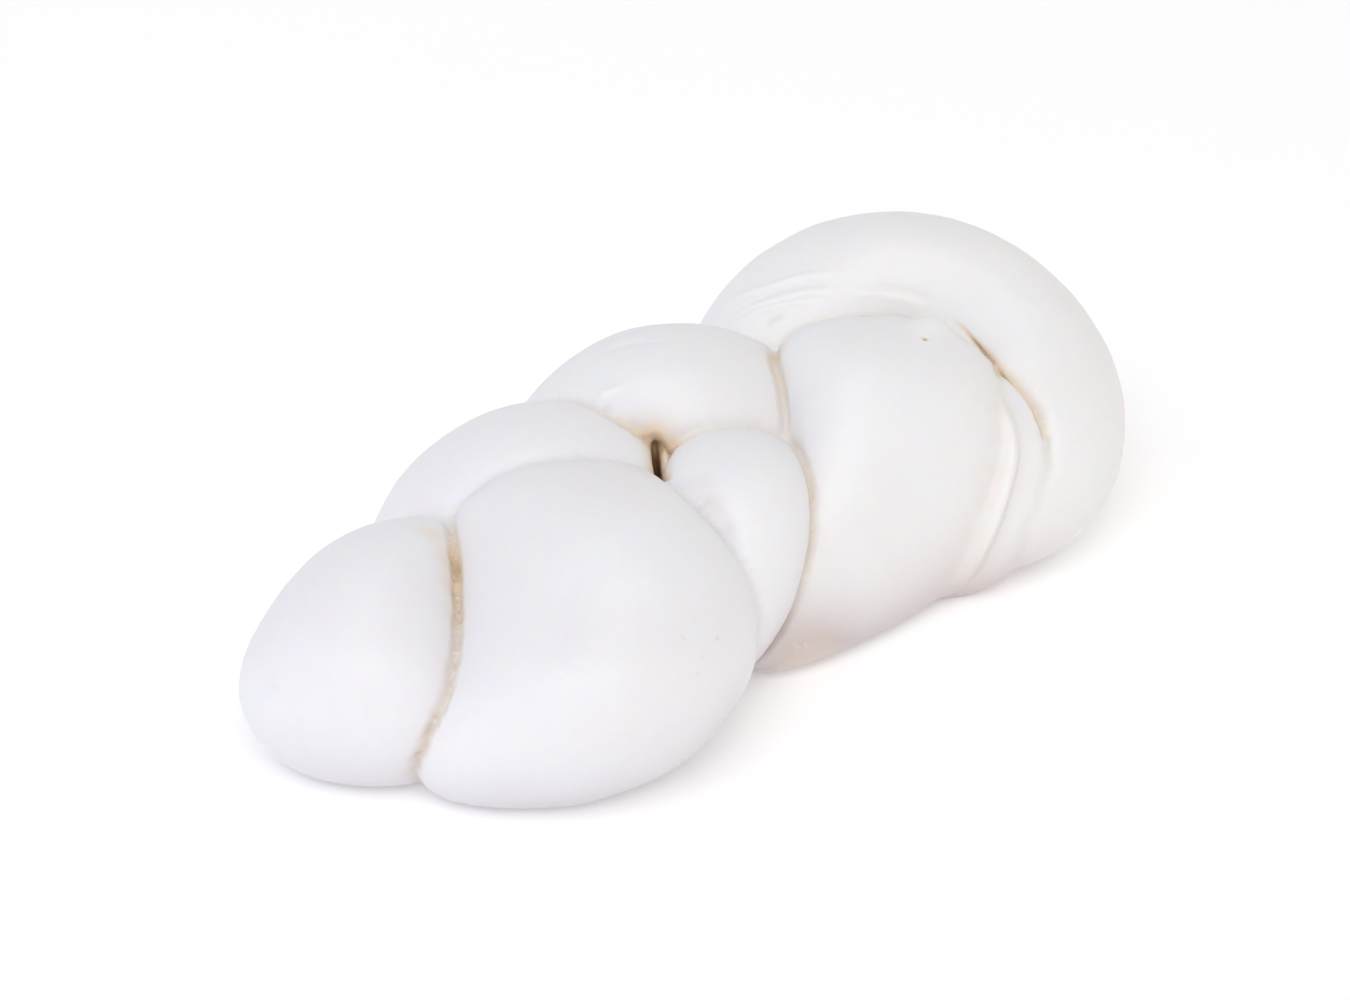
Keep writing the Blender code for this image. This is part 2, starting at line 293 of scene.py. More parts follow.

# Likewise, painted brown shade on the curd beside grooves and in its neighbours' shade, and painted
# shade that darkens the curd where its neighbours shade it.
PAINTED_BROWN_SHADE = (
    (-57.6, 2.0, 38.6, 2.8, 0.3),
    (-58.2, -4.2, 37.6, 2.6, 0.28),
    (-61.0, -9.0, 36.0, 2.4, 0.22),
    (-64.4, -14.5, 34.4, 2.2, 0.15),
    (-1.0, 3.5, 39.0, 3.4, 0.45),
    (35.6, 9.0, 43.0, 3.0, 0.3),
    (3.5, -40.0, 7.0, 7.0, 0.22),
    (59.5, -32.0, 41.0, 2.4, 0.08),
    (57.0, -36.0, 37.0, 2.4, 0.1),
    (53.0, -39.5, 32.0, 2.6, 0.1),
    (49.0, -41.0, 27.0, 2.8, 0.1),
    (45.0, -41.5, 21.0, 3.0, 0.12),
    (42.0, -41.0, 14.0, 3.0, 0.12),
)
# Painted shade where neighbouring lobes shade the curd.
PAINTED_SHADE_SPOTS = (
    (3.5, -39.6, 8.0, 10.0, 0.85),
    (-28.7, -53.8, 15.6, 9.0, 0.3),
    (-8.6, -19.5, 43.4, 3.4, 0.22),
    (-9.4, -25.0, 41.8, 3.2, 0.3),
    (-9.8, -30.5, 39.2, 3.0, 0.22),
    (-2.0, 6.0, 41.0, 5.0, 0.3),
)

# Folds pulled in the skin: their height and half width, how brown they are, the brown being painted
# shade in their dips, and their run.
PULLS = (
    (0.45, 1.0, 0.0, ((41.8, 32.9, 37.7), (46.0, 29.3, 40.9), (52.3, 23.6, 43.9), (59.2, 17.8, 44.7))),
    (-0.35, 0.8, 0.0, ((43.3, 32.6, 39.2), (48.4, 29.2, 42.6), (54.0, 24.6, 45.2), (60.0, 19.4, 45.9))),
    (0.4, 0.8, 0.0, ((40.2, 31.6, 36.4), (44.6, 28.9, 39.6), (49.2, 24.4, 42.1), (54.5, 19.4, 43.1))),
    (-0.4, 0.7, 0.12, ((43.5, 25.5, 37.9), (45.6, 24.6, 39.3), (48.1, 23.0, 40.7))),
    (0.4, 0.9, 0.0, ((42.7, 39.0, 36.8), (48.5, 31.8, 42.6), (54.5, 27.0, 46.0), (62.0, 20.0, 47.0))),
    (0.3, 1.1, 0.0, ((59.5, 16.5, 43.9), (64.0, 13.6, 44.6), (68.6, 8.4, 43.8), (71.1, 3.4, 42.8))),
    (-0.2, 0.9, 0.0, ((62.8, 16.2, 45.6), (66.2, 13.0, 45.6), (70.4, 8.0, 45.2), (72.4, 3.0, 44.4))),
    (-0.35, 1.3, 0.0, ((0.5, 27.0, 45.7), (8.0, 23.5, 48.0), (15.0, 17.8, 48.7))),
    (0.4, 1.0, 0.0, ((-6.3, 17.0, 43.8), (-3.8, 15.6, 45.0), (-0.9, 14.1, 46.1))),
    (-0.7, 1.8, 0.03, ((-9.6, -19.0, 43.0), (-8.8, -24.0, 42.3), (-9.0, -29.0, 40.3), (-9.4, -33.5, 37.0))),
    (
        -0.7,
        0.6,
        0.85,
        (
            (72.4, -0.9, 43.0),
            (72.5, -5.9, 42.4),
            (72.0, -9.1, 41.7),
            (71.4, -13.0, 41.4),
            (70.8, -17.5, 41.4),
            (69.6, -22.0, 41.0),
            (69.0, -27.0, 40.0),
            (68.4, -32.5, 38.4),
            (67.0, -37.5, 36.0),
            (65.5, -40.5, 34.0),
        ),
    ),
)
PULL_STEP = 0.3

# Small marks in the skin: their place, radius and height, and how brown they are, the brown being
# painted shade in the pits.
MARKS = (
    (60.8, -10.0, 48.7, 4.2, 2.3, 0.0),
    (55.1, -13.4, 49.8, 0.55, -0.7, 0.9),
    (-99.9, -5.8, 28.4, 0.8, -0.3, 0.0),
    (-98.9, -7.8, 28.6, 0.7, -0.25, 0.0),
    (-36.3, -51.7, 38.1, 0.4, -0.25, 0.1),
    (-29.4, -52.5, 35.4, 0.45, -0.3, 0.15),
    (-34.4, -54.7, 34.7, 0.4, -0.25, 0.1),
    (-36.7, -56.5, 32.7, 0.45, -0.25, 0.1),
    (-30.1, -18.6, 47.9, 0.7, -0.2, 0.0),
    (-16.1, 22.2, 43.9, 0.8, 0.3, 0.0),
    (-17.2, 23.4, 43.6, 0.7, 0.25, 0.0),
    (1.5, -38.8, 10.8, 0.8, 0.35, 0.0),
    (3.5, -39.6, 10.3, 0.6, 0.3, 0.0),
)

# The longest edges of the finished mesh: on plain skin, within so far of a groove, on a pulled fold
# and on the smallest marks. A fold or mark is split finely out to so many times its own width.
PLAIN_EDGE = 9.0
GROOVE_EDGE = 0.75
GROOVE_ZONE = 2.6
PULL_EDGE = 0.5
MARK_EDGE = 0.3
FINE_REACH = 2.5

# The painted shade on the underside and on the side turned from the light: how high it reaches, which
# way its unshaded side faces, how far round from there it sets in, and how often its edge is averaged.
UNDER_HEIGHT = 15.0
UNDER_AWAY = np.array((-0.45, 0.25, 0.85))
UNDER_TURN = 0.55
UNDER_ROUNDS = 6

# Where the fold takes over from the plait along X, and how much of that painted shade it keeps beside it.
FOLD_SPAN = (50.0, 75.0)
FOLD_SHARE = 0.25

# Strand coordinates, for the fibres: how far they run round a lobe and along it, and from one lobe
# to the next.
STRAND_GIRTH = 17
STRAND_STRETCH = 0.12
STRAND_APART = 37.0

# Edges that turn by more than this are shaded sharp.
SHARP_ANGLE = math.radians(38)


# ---------------------------------------------------------------- the lobes

def unit(vectors):
    return vectors / np.linalg.norm(vectors, axis=-1, keepdims=True)


def run_through(stations):
    """A smooth run through the stations: Catmull-Rom, spaced by the stations' own distances."""
    points = np.array(stations, float)
    lengths = np.linalg.norm(np.diff(points[:, :3], axis=0), axis=1)
    steps = lengths**SPACING_POWER
    count = len(points)
    slopes = np.zeros_like(points)
    slopes[0] = (points[1] - points[0]) / steps[0]
    slopes[-1] = (points[-1] - points[-2]) / steps[-1]
    for i in range(1, count - 1):
        before = (points[i] - points[i - 1]) / steps[i - 1]
        after = (points[i + 1] - points[i]) / steps[i]
        slopes[i] = (before * steps[i] + after * steps[i - 1]) / (steps[i] + steps[i - 1])
    rows = []
    for i in range(count - 1):
        rows_here = max(3, math.ceil(lengths[i] / POINT_SPACING))
        for t in np.linspace(0.0, 1.0, rows_here, endpoint=False):
            rows.append(
                (2 * t**3 - 3 * t**2 + 1) * points[i]
                + (t**3 - 2 * t**2 + t) * steps[i] * slopes[i]
                + (3 * t**2 - 2 * t**3) * points[i + 1]
                + (t**3 - t**2) * steps[i] * slopes[i + 1]
            )
    rows.append(points[-1])
    return np.array(rows)


def section_frames(run):
    """Along, across and upright directions of each section of a run."""
    along = unit(np.gradient(run[:, :3], axis=0))
    if np.any(run[:, 6] != 0):
        heading = np.radians(run[:, 6])
        across = np.stack([np.cos(heading), np.sin(heading), 0 * heading], axis=1)
    else:
        across = unit(np.cross([0.0, 0.0, 1.0], along))
    upright = unit(np.cross(along, across))
    roll = np.radians(run[:, 5])[:, None]
    rolled_across = across * np.cos(roll) + upright * np.sin(roll)
    rolled_upright = upright * np.cos(roll) - across * np.sin(roll)
    return along, rolled_across, rolled_upright


def boxy_circle(turn, power):
    """How far sideways and up a section's outline stands at each turn, as shares of its half sizes."""
    side = np.sign(np.cos(turn)) * np.abs(np.cos(turn)) ** (2 / power)
    rise = np.sign(np.sin(turn)) * np.abs(np.sin(turn)) ** (2 / power)
    return side, rise


def even_turns(width, height, power):
    """Turn angles that space a section's points evenly round its girth."""
    fine = np.linspace(0.0, 2 * math.pi, GIRTH_STEPS + 1)
    side, rise = boxy_circle(fine, power)
    girth = np.concatenate([[0.0], np.cumsum(np.hypot(np.diff(side * width), np.diff(rise * height)))])
    around = 4 * math.ceil(girth[-1] / POINT_SPACING / 4)
    return np.interp(np.linspace(0.0, girth[-1], around, endpoint=False), girth, fine)


def lobe_rings(stations, first_cap, last_cap, power):
    """The rings of one lobe, its two poles, and how far along the strand each ring lies."""
    run = run_through(stations)
    centre = run[:, :3]
    width = run[:, 3]
    height = run[:, 4]
    along, across, upright = section_frames(run)
    side, rise = boxy_circle(even_turns(width.mean(), height.mean(), power), power)
    cap_rows = max(6, min(CAP_ROWS, round(1.6 * min(height.max(), width.max()) / POINT_SPACING)))

    def ring(at, i, shrink):
        sideways = np.outer(side * width[i] * shrink, across[i])
        return at + sideways + np.outer(rise * height[i] * shrink, upright[i])

    lengths = np.concatenate([[0.0], np.cumsum(np.linalg.norm(np.diff(centre, axis=0), axis=1))])
    reach = first_cap * min(width[0], height[0])
    rings = []
    places = []
    for k in range(cap_rows - 1, 0, -1):
        angle = k / cap_rows * math.pi / 2
        at = centre[0] - along[0] * reach * math.sin(angle)
        rings.append(ring(at, 0, math.cos(angle) ** CAP_POWER))
        places.append(-reach * angle)
    for i in range(len(run)):
        rings.append(ring(centre[i], i, 1.0))
        places.append(lengths[i])
    first_pole = centre[0] - along[0] * reach
    reach = last_cap * min(width[-1], height[-1])
    for k in range(1, cap_rows):
        angle = k / cap_rows * math.pi / 2
        at = centre[-1] + along[-1] * reach * math.sin(angle)
        rings.append(ring(at, -1, math.cos(angle) ** CAP_POWER))
        places.append(lengths[-1] + reach * angle)
    last_pole = centre[-1] + along[-1] * reach
    return *evened(np.array(rings), first_pole, last_pole), np.array(places)


def evened(rings, first_pole, last_pole):
    """A lobe's rings and poles, smoothed along the strand and over its ends, so that no cap sets in
    with a jolt."""
    count, around, _ = rings.shape
    rows = min(EVEN_ROWS, count / 16)
    reach = min(round(6 * rows), count)
    # Past each pole the rings carry on down the other side, so that the ends are evened too.
    opposite = np.roll(rings, around // 2, axis=1)
    first = np.tile(first_pole, (1, around, 1))
    last = np.tile(last_pole, (1, around, 1))
    stack = np.concatenate([opposite[:reach][::-1], first, rings, last, opposite[::-1][:reach]])
    steps = np.arange(-(reach // 2), reach // 2 + 1)
    bell = np.exp(-0.5 * (steps / rows) ** 2)
    bell /= bell.sum()
    # Twice the bell less the bell on itself leaves even curves as they are.
    kernel = -np.convolve(bell, bell)
    middle = len(kernel) // 2
    kernel[middle - len(bell) // 2 : middle + len(bell) // 2 + 1] += 2 * bell
    start = reach - middle
    smooth = sum(share * stack[start + k : start + k + count + 2] for k, share in enumerate(kernel))
    return smooth[1:-1], smooth[0].mean(axis=0), smooth[-1].mean(axis=0)


def settled(points):
    """Points pressed down onto the board: heights below the settling height flatten out."""
    points = points.copy()
    low = points[..., 2] < SETTLE_HEIGHT
    sunk = np.minimum((points[..., 2] - SETTLE_HEIGHT) / SETTLE_HEIGHT, 0.0)
    points[..., 2] = np.where(low, SETTLE_HEIGHT * np.exp(sunk), points[..., 2])
    return points


def lobe_relief(name, points):
    """How far each point of a lobe stands proud of its plain spindle, in soft swells."""
    swell = SWELLS.get(name, PLAIN_SWELL)
    rise = np.empty(len(points))
    for i, (x, y, z) in enumerate(points.tolist()):
        wide = noise.noise((x / SWELL_SIZE, y / SWELL_SIZE, z / SWELL_SIZE))
        small = noise.noise((x / RIPPLE_SIZE, y / RIPPLE_SIZE, z / RIPPLE_SIZE + 9))
        rise[i] = swell * (wide + RIPPLE_SHARE * small)
    return rise


def lobe_object(name, stations, first_cap, last_cap, power):
    """One lobe as a closed mesh object, with its points and where each lies along and round its strand."""
    rings, first_pole, last_pole, places = lobe_rings(stations, first_cap, last_cap, power)
    count, around, _ = rings.shape
    points = np.vstack([rings.reshape(-1, 3), first_pole, last_pole])
    row = np.repeat(np.arange(count - 1), around)
    a = np.tile(np.arange(around), count - 1)
    b = (a + 1) % around
    here = row * around
    there = here + around
    quads = np.stack([here + a, here + b, there + b, there + a], axis=1)
    first = count * around
    k = np.arange(around)
    n = (k + 1) % around
    start = np.stack([np.full(around, first), n, k], axis=1)
    end = np.stack([np.full(around, first + 1), (count - 1) * around + k, (count - 1) * around + n], axis=1)
    corners = points[quads[:, :3]]
    if np.einsum("ij,ij->i", corners[:, 0], np.cross(corners[:, 1], corners[:, 2])).sum() < 0:
        quads, start, end = quads[:, ::-1], start[:, ::-1], end[:, ::-1]
    turn_share = np.append(np.tile(np.arange(around) / around, count), [0.0, 0.0])
    along = np.append(np.repeat(places, around), [places[0], places[-1]])
    halves = np.vstack([quads[:, [0, 1, 2]], quads[:, [0, 2, 3]], start, end])
    outward, _ = normals_of(points, halves)
    points = settled(points + outward * lobe_relief(name, points)[:, None])
    mesh = bpy.data.meshes.new(name)
    mesh.from_pydata(points.tolist(), [], quads.tolist() + start.tolist() + end.tolist())
    mesh.update()
    return bpy.data.objects.new(name, mesh), points, along, turn_share


def apply_boolean(obj, operation, **operand):
    """Applies one Boolean to an object."""
    modifier = obj.modifiers.new("join", "BOOLEAN")
    modifier.operation = operation
    modifier.solver = "MANIFOLD"
    for key, value in operand.items():
        setattr(modifier, key, value)
    bpy.context.view_layer.update()
    graph = bpy.context.evaluated_depsgraph_get()
    made = bpy.data.meshes.new_from_object(obj.evaluated_get(graph))
    obj.modifiers.remove(modifier)
    obj.data = made


def board_cutter():
    """A slab that takes off what lies below the foot."""
    half = 150.0
    low = -50.0
    corners = [(x, y, z) for z in (low, FOOT_HEIGHT) for y in (-half, half) for x in (-half, half)]
    faces = [(0, 2, 3, 1), (4, 5, 7, 6), (0, 1, 5, 4), (1, 3, 7, 5), (3, 2, 6, 7), (2, 0, 4, 6)]
    mesh = bpy.data.meshes.new("board_cutter")
    mesh.from_pydata(corners, [], faces)
    return bpy.data.objects.new("board_cutter", mesh)


def triangles_of(mesh):
    """A mesh's points and triangles as arrays."""
    mesh.calc_loop_triangles()
    points = np.empty(len(mesh.vertices) * 3, np.float32)
    mesh.vertices.foreach_get("co", points)
    faces = np.empty(len(mesh.loop_triangles) * 3, np.int32)
    mesh.loop_triangles.foreach_get("vertices", faces)
    return points.reshape(-1, 3).astype(float), faces.reshape(-1, 3)


def edges_of(faces):
    """Each edge once, and the three edges of each face."""
    ends = np.sort(np.concatenate([faces[:, [0, 1]], faces[:, [1, 2]], faces[:, [2, 0]]]), axis=1)
    edges, index = np.unique(ends, axis=0, return_inverse=True)
    return edges, index.reshape(3, -1).T


def outer_shell(points, faces):
    """The outer surface alone, without any hollow or sliver that the joining left."""
    edges, of_face = edges_of(faces)
    order = np.argsort(of_face.ravel(), kind="stable")
    owner = order // 3
    start = np.searchsorted(of_face.ravel()[order], np.arange(len(edges) + 1))
    parent = list(range(len(faces)))

    def root(i):
        while parent[i] != i:
            parent[i] = parent[parent[i]]
            i = parent[i]
        return i

    for low in start[:-1][np.diff(start) == 2].tolist():
        parent[root(int(owner[low]))] = root(int(owner[low + 1]))
    labels = np.array([root(i) for i in range(len(faces))])
    values, counts = np.unique(labels, return_counts=True)
    kept = faces[labels == values[counts.argmax()]]
    used, index = np.unique(kept, return_inverse=True)
    return points[used], index.reshape(-1, 3)


def pressed_together():
    """The lobes joined into one closed surface, and what each lobe was made of."""
    scene = bpy.context.scene
    pieces = bpy.data.collections.new("lobe_pieces")
    scene.collection.children.link(pieces)
    made = [lobe_object(*lobe) for lobe in LOBES + CUTS]
    body = made[0][0]
    scene.collection.objects.link(body)
    for piece, *_ in made[1 : len(LOBES)]:
        pieces.objects.link(piece)
    apply_boolean(body, "UNION", operand_type="COLLECTION", collection=pieces)
    for cutter in [cut[0] for cut in made[len(LOBES) :]] + [board_cutter()]:
        pieces.objects.link(cutter)
        apply_boolean(body, "DIFFERENCE", operand_type="OBJECT", object=cutter)
    points, faces = triangles_of(body.data)
    for piece in list(pieces.objects):
        bpy.data.objects.remove(piece, do_unlink=True)
    bpy.data.objects.remove(body, do_unlink=True)
    bpy.data.collections.remove(pieces)
    points, faces = outer_shell(points, faces)
    return points, faces, made


# ---------------------------------------------------------------- surface measures

def normals_of(points, faces):
    """Unit normals of the points, weighted by area, and of the faces."""
    a, b, c = points[faces[:, 0]], points[faces[:, 1]], points[faces[:, 2]]
    cross = np.cross(b - a, c - a)
    total = np.zeros_like(points)
    for k in range(3):
        np.add.at(total, faces[:, k], cross)
    size = np.linalg.norm(total, axis=1, keepdims=True)
    flat = np.linalg.norm(cross, axis=1, keepdims=True)
    return total / np.maximum(size, 1e-12), cross / np.maximum(flat, 1e-12)


def creases_of(points, faces):
    """Middle points of the concave edges, how sharply each folds, its ends and the points facing it."""
    _, flat = normals_of(points, faces)
    ends = np.concatenate([faces[:, [0, 1]], faces[:, [1, 2]], faces[:, [2, 0]]])
    opposite = np.concatenate([faces[:, 2], faces[:, 0], faces[:, 1]])
    face = np.tile(np.arange(len(faces)), 3)
    key = np.sort(ends, axis=1)
    order = np.lexsort((key[:, 1], key[:, 0]))
    key = key[order]
    same = np.all(key[1:] == key[:-1], axis=1)
    first = order[:-1][same]
    second = order[1:][same]
    turn = np.einsum("ij,ij->i", flat[face[first]], flat[face[second]])
    angle = np.arccos(np.clip(turn, -1.0, 1.0))
    above = np.einsum(
        "ij,ij->i",
        points[opposite[second]] - points[ends[first, 0]],
        flat[face[first]],
    )
    fold = (angle > LEAST_FOLD) & (above > 0)
    edge = ends[first[fold]]
    sides = np.stack([opposite[first[fold]], opposite[second[fold]]], axis=1)
    middle = (points[edge[:, 0]] + points[edge[:, 1]]) / 2
    return middle, np.clip(angle[fold] / FULL_FOLD, 0.0, 1.0), edge, sides


def falloff(distance, reach):
    """1 at no distance, about a third at the reach, and fading out beyond it."""
    return np.exp(-((distance / reach) ** 2))


def tree_of(points):
    tree = kdtree.KDTree(len(points))
    for i, spot in enumerate(points):
        tree.insert(spot, i)
    tree.balance()
    return tree


def nearest(tree, points):
    """The nearest entry of the tree to each point, and how far off it is."""
    index = np.empty(len(points), int)
    gap = np.empty(len(points))
    for i, spot in enumerate(points):
        _, index[i], gap[i] = tree.find(spot)
    return index, gap


def spread(values, faces, rounds):
    """Values of the points, averaged with their neighbours' so many times."""
    edges, _ = edges_of(faces)
    count = np.bincount(edges.ravel(), minlength=len(values)).astype(float)
    columns = values.reshape(len(values), -1).T
    out = []
    for column in columns:
        for _ in range(rounds):
            total = np.bincount(edges[:, 0], column[edges[:, 1]], len(column))
            total += np.bincount(edges[:, 1], column[edges[:, 0]], len(column))
            column = (column + total / np.maximum(count, 1)) / 2
        out.append(column)
    return np.stack(out, axis=1).reshape(values.shape)


def finer(points, faces, longest):
    """The same surface with every edge split that is longer than its ends allow."""
    edges, of_face = edges_of(faces)
    length = np.linalg.norm(points[edges[:, 0]] - points[edges[:, 1]], axis=1)
    split = length > np.minimum(longest[edges[:, 0]], longest[edges[:, 1]])
    fresh = np.full(len(edges), -1)
    fresh[split] = len(points) + np.arange(split.sum())
    points = np.vstack([points, (points[edges[split, 0]] + points[edges[split, 1]]) / 2])
    whole = ~split[of_face].any(axis=1)
    made = []
    for (a, b, c), marks in zip(faces[~whole].tolist(), fresh[of_face[~whole]].tolist()):
        ab, bc, ca = marks
        for _ in range(3):
            if ab >= 0 and (bc < 0 or ca >= 0):
                break
            a, b, c, ab, bc, ca = b, c, a, bc, ca, ab
        if ab >= 0 and bc >= 0 and ca >= 0:
            made += [(a, ab, ca), (ab, b, bc), (ca, bc, c), (ab, bc, ca)]
        elif ca >= 0:
            made += [(a, ab, ca), (ab, b, c), (ab, c, ca)]
        else:
            made += [(a, ab, c), (ab, b, c)]
    return points, np.vstack([faces[whole], np.array(made)])


def gathered(points, places):
    """How strongly a list of places (x, y, z, reach, strength) marks each point."""
    total = np.zeros(len(points))
    for x, y, z, reach, strength in places:
        away = np.linalg.norm(points - np.array((x, y, z)), axis=1)
        total += strength * falloff(away, reach)
    return total


# ---------------------------------------------------------------- the braid

def pull_spots():
    """Places along the pulled folds, each with its height, half width and painted shade tint; the ends run
    out.
    """
    spots = []
    for height, width, brown, run in PULLS:
        run = np.array(run)
        for here, (start, end) in enumerate(zip(run[:-1], run[1:])):
            steps = max(int(np.linalg.norm(end - start) / PULL_STEP), 1)
            for k in range(steps):
                along = (here + k / steps) / (len(run) - 1)
                fade = min(1.0, 4.0 * along, 4.0 * (1.0 - along))
                spots.append((*(start + (end - start) * k / steps), height * fade, width, brown * fade))
    return np.array(spots)


def softened(points, faces, weight, rounds):
    """Points drawn towards the mean of their neighbours, each by its own weight."""
    edges, _ = edges_of(faces)
    count = np.maximum(np.bincount(edges.ravel(), minlength=len(points)), 1)
    for _ in range(rounds):
        total = [
            np.bincount(edges[:, 0], column[edges[:, 1]], len(points))
            + np.bincount(edges[:, 1], column[edges[:, 0]], len(points))
            for column in points.T
        ]
        points = points + weight[:, None] * (np.stack(total, axis=1) / count[:, None] - points)
    return points


def groove_lines(points, faces, lobe_of):
    """Spots along the grooves, a tree of them, and the two points that each spot lies between.

    A spot has its place, depth, half width, painted shade tint, softness and the reach of its tint.
    """
    middle, fold, edge, sides = creases_of(points, faces)
    names = [lobe[0] for lobe in LOBES + CUTS]
    spots = []
    anchors = []
    for spot, sharp, (start, end), (one, other) in zip(middle, fold, edge, sides):
        first, second = lobe_of[one], lobe_of[other]
        if first == second or max(first, second) >= len(LOBES):
            continue
        pair = tuple(sorted((names[first], names[second])))
        depth, width, tint, soft = GROOVES.get(pair, PLAIN_GROOVE)
        sharp *= min(max((spot[2] - FOOT_HEIGHT - GROOVE_FOOT) / GROOVE_FADE, 0.0), 1.0)
        for here, there in ((start, start), (start, end), (end, end)):
            place = (points[here] + points[there]) / 2
            spots.append((*place, depth * sharp, width, tint * sharp, soft, TINT_REACH))
            anchors.append((here, there))
    spots = np.array(spots)
    # Deeper spots pinch a groove further and make its painted shade tint darker and wider.
    deepening = gathered(spots[:, :3], DEEPER_GROOVE_SPOTS)
    spots[:, 3] *= 1.0 + SPOT_DEEPENS * deepening
    spots[:, 5] = np.clip(spots[:, 5] + deepening, 0.0, 1.0)
    spots[:, 7] *= 1.0 + SPOT_WIDENS * deepening
    tree = tree_of(spots[:, :3])
    smooth = spots.copy()
    for i, spot in enumerate(spots):
        near = [index for _, index, _ in tree.find_range(spot[:3], LINE_EVEN)]
        smooth[i, 3:] = spots[near, 3:].mean(axis=0)
    return smooth, tree, np.array(anchors)


def rim_of(points, faces, lobe_of):
    """Middle points of the edges where a cut's wall meets a lobe's skin."""
    edges, _ = edges_of(faces)
    cut = lobe_of >= len(LOBES)
    return points[edges[cut[edges[:, 0]] != cut[edges[:, 1]]]].mean(axis=1)


def refined(points, faces, line_tree, rim_tree, pulls, pull_tree):
    """The surface, split finely enough for its grooves, its rim, its folds and its marks."""
    marks = np.array(MARKS)
    mark_tree = tree_of(marks[:, :3])
    for edge, zone in ((GROOVE_EDGE, GROOVE_ZONE), (GROOVE_EDGE, GROOVE_ZONE), (MARK_EDGE, 0.0)):
        _, gap = nearest(line_tree, points)
        _, rim = nearest(rim_tree, points)
        pull, aside = nearest(pull_tree, points)
        mark, away = nearest(mark_tree, points)
        longest = np.where(np.minimum(gap, rim) < zone, edge, PLAIN_EDGE)
        longest = np.where(aside < FINE_REACH * pulls[pull, 4], np.minimum(longest, PULL_EDGE), longest)
        radius = marks[mark, 3]
        small = np.minimum(longest, np.maximum(edge, radius / 3))
        longest = np.where(away < FINE_REACH * radius + 0.5, small, longest)
        points, faces = finer(points, faces, longest)
    return points, faces


def marked(points, tint, inward):
    """The points with each mark raised or pressed in where it lies nearest, and their tint, which is
    painted shade in the pits.
    """
    for x, y, z, radius, height, brown in MARKS:
        centre = np.array((x, y, z))
        centre = points[np.argmin(np.linalg.norm(points - centre, axis=1))]
        share = falloff(np.linalg.norm(points - centre, axis=1), radius)
        points = points - inward * (height * share)[:, None]
        tint = np.maximum(tint, brown * share)
    return points, tint


def painted_under_shade(points, faces):
    """How much painted shade each point takes: low down, on the side turned from the light, and in listed
    spots where its neighbours shade it.
    """
    outward, _ = normals_of(points, faces)
    under = np.clip(UNDER_TURN - outward @ UNDER_AWAY, 0.0, 1.0) * falloff(points[:, 2], UNDER_HEIGHT)
    under *= np.interp(points[:, 0], FOLD_SPAN, (1.0, FOLD_SHARE))
    return np.clip(spread(under, faces, UNDER_ROUNDS) + gathered(points, PAINTED_SHADE_SPOTS), 0.0, 1.0)


def strand_places(turn_share, along, lobe_of):
    """Coordinates that run round and along each strand, set apart from one lobe to the next."""
    turn = turn_share * 2 * math.pi
    sides = [np.cos(turn) * STRAND_GIRTH, np.sin(turn) * STRAND_GIRTH, along * STRAND_STRETCH]
    return np.stack(sides, axis=1) + lobe_of[:, None] * STRAND_APART


